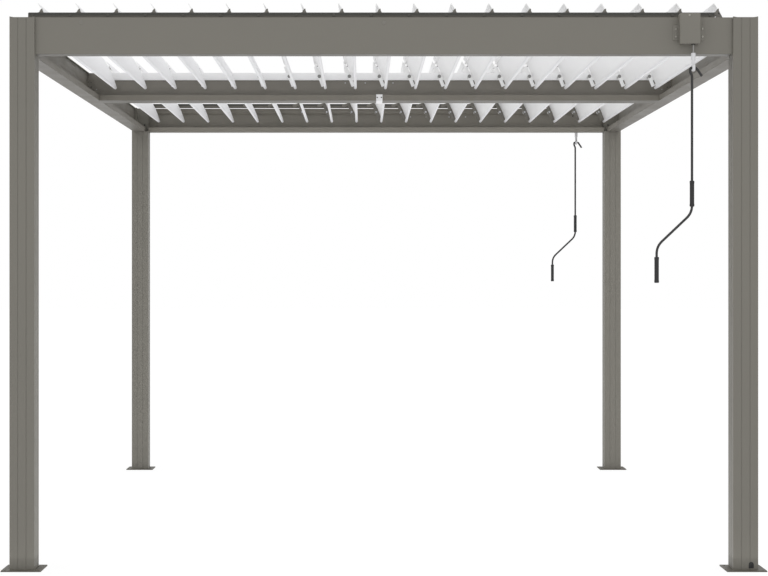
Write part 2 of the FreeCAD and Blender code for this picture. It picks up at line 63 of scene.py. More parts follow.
# Louver section: "up" runs along the blade from its pivot, "out" is square to it
EDGE_UP = 0.095
BEAD_UP = -0.0655
BEAD_RADIUS = 0.0075
SKIN = 0.0025
BOW_RADIUS = 0.500
CROWN_OUT = 0.0160
CROWN_UP = -0.014
LIP_UP = 0.065
LIP_REACH = -0.002
JOIN_EASE = 0.0012
SKIN_STEPS = 18
EDGE_STEPS = 4
BEAD_STEPS = 18
BLADE_START = 0.060
BLADE_END = 1.925
PLATE = 0.006
PLATE_LEFT = -0.0085
PLATE_HALF = 0.0545
PLATE_EDGE = 0.0007
SLOT_LEFT = 0.009
SLOT_LOW = 0.022
SLOT_HIGH = 0.048
SHOULDER_UP = 0.070
LINK_SIDE = -0.050
LINK_RISE = 0.038
LEVER_RADIUS = 0.009

# Louver fastenings
PIN_RADIUS = 0.005
PIN_SUNK = 0.001
PIN_GAP = 0.0004
DRIVEN_PIN_REACH = 0.0101
LINK_PIN_RADIUS = 0.004
INNER_HEAD_RADIUS = 0.0088
OUTER_HEAD_RADIUS = 0.0060
PLATE_SCREW_OUT = 0.0092
PLATE_SCREW_UP = 0.0511
LEVER_SCREW_OUT = 0.0060
LEVER_SCREW_HIGH = 0.0500
LEVER_SCREW_LOW = -0.0480

# Link bars
BAR_FACE = 1.937
BAR_DEPTH = 0.005
BAR_HEIGHT = 0.025
BAR_DROP = 0.001
BAR_OVERHANG = 0.018

# Rails, strap and small parts of the frame
RAIL_HALF = 1.400
RAIL_DROP = 0.037
SLANT_DROP = 0.026
SUNK = 0.0001
PLUG_HEIGHT = 2.199
BRACKET_SCREW_HEIGHTS = (2.146, 2.170)
MIDDLE_SCREWS = (-0.173, -0.071, 0.070)
MIDDLE_SCREW_HEIGHT = 2.1676
BACK_SCREWS = (0.211, 0.3095, 0.450, 0.552)
BACK_SCREW_HEIGHT = 2.1700
GROMMET_HEIGHT = 2.1756
STRAP_HALF = 0.016
STRAP_SHEET = 0.003
STRAP_GAP = 0.00005
STRAP_SCREW_SIDE = 0.0106
STRAP_SCREW_HEIGHT = 2.0874

# Gear box and crank
BOX_X = DRIVE_X + 0.007
BOX_HALF = 0.0405
BOX_LOW = 2.110
BOX_HIGH = 2.232
BOX_FACE = 2.030
EAR_REACH = 0.022
EAR_LOW = 2.126
EAR_HIGH = 2.188
EAR_DEPTH = 0.003
EAR_SCREW_LEFT = 0.0102
EAR_SCREW_RIGHT = 0.0147
EAR_SCREW_HEIGHTS = (2.1722, 2.1417)
SET_SCREW_X = 1.2195
SET_SCREW_HEIGHT = 2.2230
WORM_X = DRIVE_X + 0.0225
WORM_Y = 2.009
WORM_RADIUS = 0.0035
SOCKET_HIGH = 2.074
SOCKET_LOW = 2.046
EYE_Z = 2.016
EYE_OUTSIDE = 0.016
EYE_HOLE = 0.0075
EYE_HALF = 0.006
EYE_SQUARENESS = 0.55
ROD_RADIUS = 0.005
ROD_EDGE = 0.0008
ROD_Z = EYE_Z - EYE_HOLE + ROD_RADIUS + 0.0005
ROD_X = WORM_X - 0.0055
GRIP_X = ROD_X - 0.1415
HOOK_EASE = 0.006
ARM_EASE = 0.030
ARM_HIGH = 1.434
ARM_LOW = 1.300
UPPER_GRIP = 1.563
LOWER_GRIP = 1.258
GRIP_LENGTH = 0.104
GRIP_RADIUS = 0.0095

# Points on an eased corner, and the angle from which an edge is drawn sharp
CORNER_STEPS = 3
CORNER_POINTS = CORNER_STEPS + 1
SHARP_ANGLE = math.radians(32)


# Outlines, shells and pieces

def unit(vectors):
    """Each vector divided by its length."""
    return vectors / np.linalg.norm(vectors, axis=-1, keepdims=True)


def once_round(sides):
    """The even angles of a circle's points."""
    return np.linspace(0, 2 * math.pi, sides, endpoint=False)


def eased_corners(enter, corners, leave, steps):
    """Each corner as a parabola that starts at enter, is drawn towards the corner and ends at
    leave."""
    share = np.linspace(0, 1, steps + 1)[None, :, None]
    curves = ((1 - share) ** 2 * enter[:, None] + 2 * share * (1 - share) * corners[:, None]
              + share ** 2 * leave[:, None])
    return curves.reshape(-1, 2)


def rounded(outline, radius, steps=CORNER_STEPS):
    """The outline with each corner eased: a parabola from radius before it to radius after it,
    or from 0.45 of its shorter side where that is less."""
    outline = np.asarray(outline, float)
    back = np.roll(outline, 1, 0) - outline
    ahead = np.roll(outline, -1, 0) - outline
    room = 0.45 * np.minimum(np.linalg.norm(back, axis=1), np.linalg.norm(ahead, axis=1))
    reach = np.minimum(radius, room)[:, None]
    return eased_corners(outline + unit(back) * reach, outline, outline + unit(ahead) * reach,
                         steps)


def inset(outline, amount):
    """The outline moved inwards by amount along the mitre of each corner's two sides. The
    mitre of a very sharp corner is cut short."""
    following = np.roll(outline, -1, 0)
    side = unit(following - outline)
    area = np.sum(outline[:, 0] * following[:, 1] - following[:, 0] * outline[:, 1])
    inward = np.stack([-side[:, 1], side[:, 0]], 1) * np.sign(area)
    before = np.roll(inward, 1, 0)
    facing = np.maximum(1 + np.sum(inward * before, axis=1, keepdims=True), 0.4)
    return outline + amount * (inward + before) / facing


def standing(outline, at, axis):
    """Outline points (a, b) as points in space: at lies along the axis, a and b on the others."""
    points = np.empty((len(outline), 3))
    points[:, axis] = at
    points[:, [k for k in range(3) if k != axis]] = outline
    return points


def shell(rings, finish, looped=False):
    """A closed skin over a stack of rings: quads from ring to ring, and a flat face on each end
    or, when looped, quads from the last ring to the first."""
    count, sides = rings.shape[:2]
    ring, side = np.meshgrid(np.arange(count if looped else count - 1), np.arange(sides),
                             indexing="ij")
    after, beside = (ring + 1) % count, (side + 1) % sides
    quads = np.stack([ring * sides + side, ring * sides + beside,
                      after * sides + beside, after * sides + side], -1).reshape(-1, 4)
    ends = [] if looped else [np.arange(sides)[::-1], np.arange(sides) + (count - 1) * sides]
    return rings.reshape(-1, 3), quads, ends, finish


def slab(outline, start, end, axis, finish, edge, back_edge=None):
    """A plate between two heights along an axis: its outline drawn in at both ends along a
    quarter round of the edge's radius."""
    turn = np.radians([0, 30, 60, 90])
    back = edge if back_edge is None else back_edge
    rings = [standing(inset(outline, back * (1 - math.sin(a))),
                      start + back * (1 - math.cos(a)), axis) for a in turn]
    rings += [standing(inset(outline, edge * (1 - math.cos(a))),
                       end - edge * (1 - math.sin(a)), axis) for a in turn]
    return shell(np.array(rings), finish)


def turned(profile, centre, axis, finish, sides=28):
    """A turned part: each (radius, along) of the profile is a circle round the axis."""
    profile = np.asarray(profile, float)
    angle = once_round(sides)
    rings = np.empty((len(profile), sides, 3))
    across = [k for k in range(3) if k != axis]
    rings[:, :, axis] = profile[:, 1:] + centre[axis]
    rings[:, :, across[0]] = profile[:, :1] * np.cos(angle) + centre[across[0]]
    rings[:, :, across[1]] = profile[:, :1] * np.sin(angle) + centre[across[1]]
    return shell(rings, finish)


def pin_profile(radius, start, end, edge=0.0006):
    """A plain pin's profile from start up to end, with its two rims eased."""
    return [(radius - edge, start), (radius, start + edge), (radius, end - edge),
            (radius - edge, end)]


def screw(centre, axis, way, radius, height, finish):
    """A pan-head screw: its dome rises as the sine of an angle while its radius shrinks as the
    cosine of 0.62 of that angle, and a round recess ends it."""
    rise = np.radians([0, 25, 45, 62, 78, 90])
    dome = np.stack([radius * np.cos(rise * 0.62), height * np.sin(rise)], 1)
    recess = [(radius * 0.40, height * 0.97), (radius * 0.34, height * 0.45),
              (radius * 0.05, height * 0.38)]
    profile = np.concatenate([[(radius * 0.98, -0.0004)], dome, recess])
    profile[:, 1] *= way
    return turned(profile, centre, axis, finish, 20)


def turned_out(points, quads, ends):
    """The faces turned outwards: the volume under them, a sum of triple products, is positive."""
    a, b, c, d = (points[quads[:, k]] for k in range(4))
    volume = np.sum(a * np.cross(b, c)) + np.sum(a * np.cross(c, d))
    for end in ends:
        volume += np.sum(points[end[0]] * np.cross(points[end[1:-1]], points[end[2:]]))
    if volume >= 0:
        return quads, ends
    return quads[:, ::-1], [end[::-1] for end in ends]


def make_piece(name, body, shells, replaced=()):
    """One object of closed shells riding on a body. A shell's finish is one finish, or a finish,
    another one and a mask of the quads that take the other."""
    shells = [one if isinstance(one[3], tuple) else one[:3] + ((one[3], one[3], 0),)
              for one in shells]
    finishes = list({finish.name: finish for one in shells for finish in one[3][:2]}.values())
    points, faces, kinds, soft, start = [], [], [], [], 0
    for place, quads, ends, (finish, other, share) in shells:
        quads, ends = turned_out(place, quads, ends)
        faces += (quads + start).tolist() + [(end + start).tolist() for end in ends]
        kind = np.full(len(quads) + len(ends), finishes.index(finish))
        kind[:len(quads)][np.broadcast_to(share, len(quads)) > 0] = finishes.index(other)
        kinds.append(kind)
        soft += [np.ones(len(quads), bool), np.zeros(len(ends), bool)]
        points.append(place)
        start += len(place)
    mesh = bpy.data.meshes.new(name)
    mesh.from_pydata(np.concatenate(points).tolist(), [], faces)
    mesh.polygons.foreach_set("material_index", np.concatenate(kinds).astype(np.int32))
    for finish in finishes:
        mesh.materials.append(finish)
    mesh.polygons.foreach_set("use_smooth", np.concatenate(soft))
    mesh.update()
    mesh.set_sharp_from_angle(angle=SHARP_ANGLE)
    piece = bpy.data.objects.new(name, mesh)
    bpy.context.scene.collection.objects.link(piece)
    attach(piece, body)
    if replaced:
        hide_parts(*replaced)


def moved(shells, offset):
    """The shells moved by an offset."""
    return [(points + np.array(offset), quads, ends, finish)
            for points, quads, ends, finish in shells]


def front_of(shells):
    """The shells' mirror image in the front bay."""
    return [(points * [1, -1, 1], quads, ends, finish) for points, quads, ends, finish in shells]


def left_of(shells):
    """The shells' mirror image on the left side."""
    return [(points * [-1, 1, 1], quads, ends, finish) for points, quads, ends, finish in shells]


def both_bays(shells):
    """The back bay's shells and their mirror image in the front bay."""
    return shells + front_of(shells)


def both_sides(shells):
    """The right side's shells and their mirror image on the left side."""
    return shells + left_of(shells)


def make_pair(name, body, shells, tail=""):
    """A piece in the back bay and its mirror image in the front bay, each standing in for the
    node that has its body's name."""
    for bay, drawn in (("back", shells), ("front", front_of(shells))):
        node = f"{body}_{bay}{tail}"
        make_piece(f"{name}_{bay}{tail}", node, drawn, (node,))


# Finishes

NOISE_LOW = 0.3
NOISE_HIGH = 0.7
POWDER_GRAIN = 520
# Heights where painted shades meet: the beams' darker painted underside, the middle beam's lip
# and its lighter painted wall, and the link bar's darker painted top half.
UNDERSIDE = BEAM_BOTTOM + 0.0012
LIP_INSIDE = BEAM_BOTTOM + 0.030
BAR_SPLIT = 2.2335
ZONE_BLUR = 0.0004


def linear(red, green, blue):
    """A screen colour of 0 to 255 as the light it stands for."""
    return [((v / 255 + 0.055) / 1.055) ** 2.4 for v in (red, green, blue)] + [1.0]


def new_finish(name, metallic=0.0):
    """An empty finish: its node tree, its shader, and the object's own coordinates."""
    finish = bpy.data.materials.new(name)
    finish.use_nodes = True
    tree = finish.node_tree
    shader = tree.nodes["Principled BSDF"]
    shader.inputs["Metallic"].default_value = metallic
    place = tree.nodes.new("ShaderNodeTexCoord").outputs["Object"]
    return finish, tree, shader, place


def stretched(tree, place, scale):
    """The coordinates scaled by its own factor along each axis."""
    mapping = tree.nodes.new("ShaderNodeMapping")
    mapping.inputs["Scale"].default_value = scale
    tree.links.new(place, mapping.inputs["Vector"])
    return mapping.outputs["Vector"]


def noise(tree, place, scale, detail):
    """Cloudy noise with so many bumps in a metre, and so many finer layers on them."""
    node = tree.nodes.new("ShaderNodeTexNoise")
    node.inputs["Scale"].default_value = scale
    node.inputs["Detail"].default_value = detail
    tree.links.new(place, node.inputs["Vector"])
    return node.outputs["Fac"]


def spread(tree, value, low, high, start=NOISE_LOW, end=NOISE_HIGH):
    """A value between start and end, such as noise, spread over low to high."""
    node = tree.nodes.new("ShaderNodeMapRange")
    tree.links.new(value, node.inputs["Value"])
    for socket, number in zip(("From Min", "From Max", "To Min", "To Max"),
                              (start, end, low, high)):
        node.inputs[socket].default_value = number
    return node.outputs["Result"]


def blended(tree, share, first, second):
    """A colour that goes from first to second with the share. Each is a colour or a socket.
    The node's colour sockets share their names with other kinds, so they go by number."""
    node = tree.nodes.new("ShaderNodeMix")
    node.data_type = "RGBA"
    tree.links.new(share, node.inputs["Factor"])
    for socket, colour in ((node.inputs[6], first), (node.inputs[7], second)):
        if hasattr(colour, "links"):
            tree.links.new(colour, socket)
        else:
            socket.default_value = colour
    return node.outputs[2]


def raised(tree, shader, height, strength, distance):
    """A bump of that height put on the shader."""
    node = tree.nodes.new("ShaderNodeBump")
    node.inputs["Strength"].default_value = strength
    node.inputs["Distance"].default_value = distance
    tree.links.new(height, node.inputs["Height"])
    tree.links.new(node.outputs["Normal"], shader.inputs["Normal"])


def shade(colour, factor):
    """The colour made darker or lighter by a factor."""
    return [min(v * factor, 1.0) for v in colour[:3]] + [1.0]


def mottled(tree, patches, colour, dark, light):
    """The colour with patches of it made darker and lighter by two factors."""
    return blended(tree, spread(tree, patches, 0.0, 1.0), shade(colour, dark),
                   shade(colour, light))


def dressed(tree, shader, patches, colour, rough):
    """The shader given a colour, and a roughness that follows the patches."""
    tree.links.new(colour, shader.inputs["Base Color"])
    tree.links.new(spread(tree, patches, *rough), shader.inputs["Roughness"])


def powder_coat(name, colour, change=0.04, rough=(0.48, 0.60), grain=POWDER_GRAIN, relief=0.16,
                run=(1, 1, 1)):
    """Sprayed powder: broad soft patches of shade and gloss, and a fine orange-peel surface.
    The patches are drawn out along the way that the profile was pressed."""
    finish, tree, shader, place = new_finish(name)
    patches = noise(tree, stretched(tree, place, run), 5.0, 4.0)
    dressed(tree, shader, patches, mottled(tree, patches, colour, 1 - change, 1 + change), rough)
    raised(tree, shader, noise(tree, place, grain, 2.0), relief, 0.0004)
    return finish


def painted_shade_zones(name, border, below, above, under=None):
    """Powder coat in two painted shades of light that meet at a height: lit and shaded copies of
    one colour. A third, darker shade is painted on a beam's underside where one is given."""
    finish, tree, shader, place = new_finish(name)
    split = tree.nodes.new("ShaderNodeSeparateXYZ")
    tree.links.new(place, split.inputs["Vector"])
    height = split.outputs["Z"]
    zone = spread(tree, height, 0.0, 1.0, border - ZONE_BLUR, border + ZONE_BLUR)
    patches = noise(tree, place, 6.0, 4.0)
    low = mottled(tree, patches, below, 0.98, 1.02)
    high = mottled(tree, patches, above, 0.98, 1.02)
    colour = blended(tree, zone, low, high)
    # Painted shade: the underside takes a darker copy of the coat.
    if under is not None:
        lowest = spread(tree, height, 0.0, 1.0, UNDERSIDE - ZONE_BLUR, UNDERSIDE + ZONE_BLUR)
        colour = blended(tree, lowest, under, colour)
    dressed(tree, shader, patches, colour, (0.45, 0.58))
    raised(tree, shader, noise(tree, place, POWDER_GRAIN, 2.0), 0.14, 0.0004)
    return finish


def plated_steel(name, colour, rough=(0.28, 0.42)):
    """Zinc plate: a grey metal with small cloudy spangles and fine turning marks."""
    finish, tree, shader, place = new_finish(name, metallic=0.85)
    spangle = noise(tree, place, 240, 3.0)
    dressed(tree, shader, spangle, mottled(tree, spangle, colour, 0.88, 1.08), rough)
    raised(tree, shader, noise(tree, place, 1400, 2.0), 0.10, 0.0002)
    return finish


def moulded(name, colour, rough=(0.34, 0.48), change=0.03):
    """Moulded plastic: nearly even colour, faint flow patches, and a fine eroded surface."""
    finish, tree, shader, place = new_finish(name)
    flow = noise(tree, place, 45, 3.0)
    dressed(tree, shader, flow, mottled(tree, flow, colour, 1 - change, 1 + change), rough)
    raised(tree, shader, noise(tree, place, 900, 2.0), 0.12, 0.0003)
    return finish


def ribbed_grip(name, colour):
    """Soft grip: dark rubber with fine rings along Z, rubbed a little lighter in patches."""
    finish, tree, shader, place = new_finish(name)
    wave = tree.nodes.new("ShaderNodeTexWave")
    wave.bands_direction = "Z"
    wave.inputs["Scale"].default_value = 62
    tree.links.new(place, wave.inputs["Vector"])
    worn = noise(tree, place, 70, 4.0)
    dressed(tree, shader, worn, mottled(tree, worn, colour, 0.85, 1.2), (0.55, 0.72))
    raised(tree, shader, wave.outputs["Fac"], 0.35, 0.0006)
    return finish


# The beams' coats are lit and shaded copies of one taupe powder coat, each set for how light
# falls on its beam. Below the underside's height each takes a darker painted shade. The middle
# beam's wall above its lip is painted lighter against its shade, and its underside is painted
# darker.
front_coat = painted_shade_zones("front_beam_powder_coat", UNDERSIDE, linear(97, 94, 87),
                           linear(118, 115, 107))
back_coat = painted_shade_zones("back_beam_powder_coat", UNDERSIDE, linear(106, 103, 95),
                          linear(128, 124, 115))
side_coat = painted_shade_zones("side_beam_powder_coat", UNDERSIDE, linear(107, 103, 96),
                          linear(121, 117, 109))
middle_coat = painted_shade_zones("middle_beam_powder_coat", LIP_INSIDE, linear(119, 115, 106),
                            linear(128, 124, 116), under=linear(98, 95, 88))
post_coat = powder_coat("front_post_powder_coat", linear(117, 114, 106), run=(1, 1, 0.2))
back_post_coat = powder_coat("back_post_powder_coat", linear(121, 118, 110), run=(1, 1, 0.2))
cap_coat = powder_coat("post_cap_powder_coat", linear(111, 108, 101), change=0.05)
foot_coat = powder_coat("foot_plate_powder_coat", linear(92, 88, 79), change=0.06,
                        rough=(0.50, 0.66))
# Painted light: the brackets' coat is made lighter so that they look no darker than the wall in
# the corner's shade.
bracket_coat = powder_coat("bracket_powder_coat", linear(124, 120, 112), change=0.05)
box_coat = powder_coat("gear_box_powder_coat", linear(119, 116, 108), rough=(0.44, 0.56),
                       grain=620)
pale_coat = powder_coat("louver_pale_coat", linear(249, 249, 249), change=0.012,
                        rough=(0.40, 0.52), grain=700, relief=0.08, run=(1, 0.15, 1))
# Painted shade: a greyer copy of the pale coat, for the blades' convex side and bead, which the
# light makes too bright.
painted_shade_coat = powder_coat("louver_painted_shade_coat", linear(236, 236, 238), change=0.012,
                         rough=(0.44, 0.56), grain=700, relief=0.08, run=(1, 0.15, 1))
end_coat = powder_coat("end_plate_pale_coat", linear(249, 249, 249), change=0.02,
                       rough=(0.42, 0.54))
lever_coat = powder_coat("lever_taupe_coat", linear(112, 109, 102), change=0.05,
                         rough=(0.42, 0.56))
rail_coat = powder_coat("inner_rail_pale_coat", linear(250, 250, 251), change=0.012,
                        run=(0.25, 1, 1))
# Painted shade: the link bar's upper half is a darker copy of its lower half's coat.
bar_coat = painted_shade_zones("link_bar_coat", BAR_SPLIT, linear(92, 89, 81), linear(66, 65, 60))
zinc = plated_steel("screw_zinc_plate", linear(196, 197, 200))
pin_zinc = plated_steel("pivot_pin_zinc_plate", linear(150, 150, 150))
dark_zinc = plated_steel("end_screw_dark_zinc", linear(72, 71, 70), rough=(0.35, 0.5))
bolt_dark = moulded("link_bolt_dark_coat", linear(80, 78, 72), rough=(0.45, 0.6))
head_grey = moulded("pivot_head_grey_cap", linear(140, 140, 138), rough=(0.40, 0.55))
ear_zinc = plated_steel("gear_box_screw_steel", linear(172, 170, 162), rough=(0.40, 0.55))
shaft_steel = plated_steel("worm_shaft_steel", linear(150, 149, 146))
eye_white = moulded("eye_white_coat", linear(214, 214, 216), rough=(0.40, 0.52), change=0.015)
clip_white = moulded("clip_white_nylon", linear(238, 238, 239), change=0.015)
bush_white = moulded("pivot_bush_nylon", linear(224, 224, 222))
plug_grey = moulded("beam_plug_plastic", linear(120, 117, 110))
outlet_black = moulded("drain_outlet_plastic", linear(34, 34, 34), rough=(0.45, 0.6))
crank_coat = powder_coat("crank_dark_coat", linear(44, 44, 44), change=0.06,
                         rough=(0.50, 0.62), grain=900)
grip_rubber = ribbed_grip("crank_grip_rubber", linear(38, 38, 39))


# Louvers

def skin_out(up, offset):
    """How far out the bowed skin lies: a circle of the bow's radius about the crown."""
    return CROWN_OUT - BOW_RADIUS + np.sqrt((BOW_RADIUS + offset) ** 2 - (up - CROWN_UP) ** 2)


def arc(out, up, radius, first, last, steps):
    """Points on a circle round (out, up) between two angles in degrees."""
    angle = np.radians(np.linspace(first, last, steps + 1))
    return np.stack([out + radius * np.cos(angle), up + radius * np.sin(angle)], 1)


def skin_line(low, high, offset, steps):
    """Points on the bowed skin from one height to another."""
    up = np.linspace(low, high, steps + 1)
    return np.stack([skin_out(up, offset), up], 1)


def tilted(points):
    """Points (out, along, up) of the blade's section turned to the open lean about the pivot."""
    out, along, up = points[:, 0], points[:, 1], points[:, 2]
    return np.stack([out * math.cos(TILT) - up * math.sin(TILT), along,
                     out * math.sin(TILT) + up * math.cos(TILT)], 1)


def blade_outline():
    """The bowed skin with its round bead below, rain lip, and rounded thin edge above. It runs
    up the convex side, over the edge, down the hollow side round the lip, and round the bead."""
    half = SKIN / 2
    bead_out = skin_out(BEAD_UP, half) - BEAD_RADIUS
    edge = EDGE_UP - half
    lip_root = skin_out(LIP_UP, -half) - JOIN_EASE
    bead_top = BEAD_UP + BEAD_RADIUS
    return np.concatenate([
        skin_line(BEAD_UP + 0.001, edge, half, SKIN_STEPS),
        arc(skin_out(edge, 0), edge, half, 30, 150, EDGE_STEPS),
        skin_line(edge, LIP_UP + half + JOIN_EASE, -half, 4),
        [(lip_root, LIP_UP + half)],
        arc(LIP_REACH + half, LIP_UP, half, 90, 270, 6),
        [(lip_root, LIP_UP - half)],
        skin_line(LIP_UP - half - JOIN_EASE, bead_top + JOIN_EASE, -half, 14),
        [(skin_out(bead_top, -half) - JOIN_EASE, bead_top)],
        arc(bead_out, BEAD_UP, BEAD_RADIUS, 90, 352, BEAD_STEPS)])


def inner_plate_outline():
    """The pale end plate: a bar across the pivot that meets the skin but for two open slots."""
    corners = [(PLATE_LEFT, -PLATE_HALF), (skin_out(-PLATE_HALF, 0), -PLATE_HALF)]
    for low, high in ((-SLOT_HIGH, -SLOT_LOW), (SLOT_LOW, SLOT_HIGH)):
        corners += [(skin_out(low, 0), low), (SLOT_LEFT, low), (SLOT_LEFT, high),
                    (skin_out(high, 0), high)]
    corners += [(skin_out(PLATE_HALF, 0), PLATE_HALF), (PLATE_LEFT, PLATE_HALF)]
    return rounded(corners, 0.0016)


def lever_outline():
    """The dark outer end plate: the skin's line up to the shoulder, and a rounded lever end.
    The outermost corners of the shoulder and the foot only lead in and out, and are cut off."""
    out = LINK_SIDE * math.cos(TILT) + LINK_RISE * math.sin(TILT)
    up = -LINK_SIDE * math.sin(TILT) + LINK_RISE * math.cos(TILT)
    shoulder = [(skin_out(0.0, 0), 0.0), (0.0132, SHOULDER_UP - 0.0015),
                (0.0049, SHOULDER_UP - 0.003), (-0.0035, SHOULDER_UP - 0.0106),
                (out, up + LEVER_RADIUS)]
    foot = [(PLATE_LEFT, up - LEVER_RADIUS), (PLATE_LEFT, -PLATE_HALF),
            (skin_out(-PLATE_HALF, 0), -PLATE_HALF), (0.0, 0.0)]
    outline = np.concatenate([
        skin_line(-PLATE_HALF + 0.002, SHOULDER_UP - 0.012, 0, 8)[1:],
        rounded(shoulder, 0.0016)[CORNER_POINTS:4 * CORNER_POINTS],
        arc(out, up, LEVER_RADIUS, 96, 270, 10),
        rounded(foot, 0.002)[:3 * CORNER_POINTS]])
    return outline, out, up


def painted_shade_sides(blade):
    """The blade with painted shade, a greyer copy of its coat, on the convex side up to the
    edge's crest and on the bead, sides that the light makes too bright. These are the first and
    the last sides of its outline."""
    points, quads, ends, finish = blade
    around = len(ends[0])
    side = np.arange(len(quads)) % around
    crest = SKIN_STEPS + 1 + EDGE_STEPS // 2
    bead = around - 1 - BEAD_STEPS
    painted_shade_mask = (side < crest) | (side >= bead)
    return points, quads, ends, (finish, painted_shade_coat, painted_shade_mask)


def pivot_head(face, way, radius, finish):
    """The pivot pin's flat head on the blade's side of an end plate, with an eased rim."""
    profile = [(radius * 0.94, -way * 0.0002), (radius, way * 0.0008), (radius, way * 0.0020),
               (radius - 0.0008, way * 0.0028), (0.0010, way * 0.0029)]
    return turned(profile, (0, face, 0), 1, finish, 24)


def louver_shells(pin_end):
    """One back louver, leaning open about its pivot: blade, end plates, pins and screws."""
    lever, link_out, link_up = lever_outline()
    inner_face = BLADE_START - PLATE
    outer_face = BLADE_END + PLATE
    bolt_end = BAR_FACE + BAR_DEPTH
    inner_pin = pin_profile(PIN_RADIUS, MIDDLE_WALL + 0.0006, inner_face + PIN_SUNK)
    outer_pin = pin_profile(PIN_RADIUS, outer_face - PIN_SUNK, pin_end)
    link_pin = pin_profile(LINK_PIN_RADIUS, outer_face - PIN_SUNK, bolt_end + 0.002, 0.0004)
    bolt_head = [(0.0058, 0), (0.0064, 0.0005), (0.0064, 0.0012), (0.0056, 0.0020)]
    collar = [(0.0062, 0), (0.0068, 0.0006), (0.0068, 0.0024), (0.0060, 0.0032)]
    shells = [
        painted_shade_sides(slab(blade_outline(), BLADE_START, BLADE_END, 1, pale_coat, 0.0002)),
        slab(inner_plate_outline(), inner_face, BLADE_START, 1, end_coat, PLATE_EDGE),
        slab(lever, BLADE_END, outer_face, 1, lever_coat, PLATE_EDGE),
        turned(inner_pin, (0, 0, 0), 1, pin_zinc),
        turned(outer_pin, (0, 0, 0), 1, pin_zinc),
        turned(link_pin, (link_out, 0, link_up), 1, bolt_dark),
        pivot_head(BLADE_START, 1, INNER_HEAD_RADIUS, head_grey),
        pivot_head(BLADE_END, -1, OUTER_HEAD_RADIUS, zinc),
        screw((PLATE_SCREW_OUT, BLADE_START - 0.0002, PLATE_SCREW_UP), 1, 1, 0.0024, 0.0018,
              dark_zinc)]
    shells += [screw((PLATE_SCREW_OUT, inner_face, up), 1, -1, 0.0026, 0.0018, dark_zinc)
               for up in (PLATE_SCREW_UP, -PLATE_SCREW_UP)]
    shells += [screw((LEVER_SCREW_OUT, outer_face, up), 1, 1, 0.0032, 0.0022, dark_zinc)
               for up in (LEVER_SCREW_HIGH, LEVER_SCREW_LOW)]
    shells += [turned(bolt_head, (link_out, bolt_end + 0.0002, link_up), 1, bolt_dark, 6),
               turned(collar, (link_out, outer_face, link_up), 1, zinc, 20)]
    return [(tilted(points), quads, ends, finish) for points, quads, ends, finish in shells]


plain_louver = louver_shells(WALL_INSIDE - PIN_GAP)
driven_louver = louver_shells(BEAM_FACE + DRIVEN_PIN_REACH)
for number, x in enumerate(PIVOTS, 1):
    shells = driven_louver if number == DRIVEN else plain_louver
    make_pair("blade", "louver", moved(shells, (x, 0, PIVOT_HEIGHT)),
              f"_{number:02d}")


# Link bars

def link_bar():
    """The back link bar: a long flat bar with rounded ends and eased edges."""
    centre = PIVOT_HEIGHT + LINK_RISE
    half = BAR_HEIGHT / 2
    low_x = FIRST_PIVOT + LINK_SIDE - BAR_OVERHANG
    high_x = -FIRST_PIVOT + LINK_SIDE + BAR_OVERHANG
    low_z, high_z = centre - half - BAR_DROP, centre + half
    outline = rounded([(low_x, low_z), (high_x, low_z), (high_x, high_z), (low_x, high_z)],
                      0.005, 5)
    return [slab(outline, BAR_FACE, BAR_FACE + BAR_DEPTH, 1, bar_coat, 0.0008)]


make_pair("link_bar_strip", "link_bar", link_bar())


# Pivot rails and bushes, corner plates, plugs, screws and strap on the frame

def inner_rail():
    """The pale rail on the middle beam's wall: a flat strip with eased corners."""
    back, low, high = MIDDLE_WALL - SUNK, BEAM_TOP - RAIL_DROP, BEAM_TOP + 0.0003
    section = rounded([(back, low), (INNER_RAIL, low), (INNER_RAIL, high), (back, high)], 0.0010)
    return slab(section, -RAIL_HALF, RAIL_HALF, 0, rail_coat, 0.0004)


def outer_rail():
    """The rail inside the outer wall, in the beam's coat, with its lower edge cut back to the
    wall at a slant."""
    back, high = WALL_INSIDE + SUNK, BEAM_TOP + 0.0022
    section = rounded([(OUTER_RAIL, BEAM_TOP - SLANT_DROP), (back, BEAM_TOP - RAIL_DROP),
                       (back, high), (OUTER_RAIL, high)], 0.0006)
    return slab(section, -RAIL_HALF, RAIL_HALF, 0, back_coat, 0.0003)


make_piece("pivot_rail_strips", "frame", both_bays([inner_rail(), outer_rail()]),
           ("pivot_rails",))


def corner_plate():
    """The thin folded plate behind the back right post's notch, and a round black plug in it."""
    near_x, far_x, near_y, far_y = 1.4035, 1.4695, 1.9035, 1.9485
    sheet = 0.0012
    fold = [(near_x, far_y), (far_x, far_y), (far_x, near_y), (far_x + sheet, near_y),
            (far_x + sheet, far_y + sheet), (near_x, far_y + sheet)]
    plug = turned([(0.0040, 0.0004), (0.0044, -0.0008), (0.0038, -0.0018), (0.0010, -0.0019)],
                  (1.4275, far_y, 2.117), 1, outlet_black, 20)
    return [slab(rounded(fold, 0.0004), BEAM_BOTTOM + 0.004, BEAM_TOP - 0.0025, 2,
                 back_post_coat, 0.0001), plug]


make_piece("post_corner_plates", "frame", both_sides(both_bays(corner_plate())))


def bush(x, face, way):
    """A pivot bush's flange: a low turned collar round the pin on a rail's face."""
    profile = [(0.0080, 0), (0.0088, way * 0.0006), (0.0088, way * 0.0016),
               (0.0078, way * 0.0026), (0.0060, way * 0.0026)]
    return turned(profile, (x, face, PIVOT_HEIGHT), 1, bush_white, 24)


bushes = [bush(x, INNER_RAIL, 1) for x in PIVOTS] + [bush(x, OUTER_RAIL, -1) for x in PIVOTS]
make_piece("pivot_bushes_back", "frame", bushes)
make_piece("pivot_bushes_front", "frame", front_of(bushes))


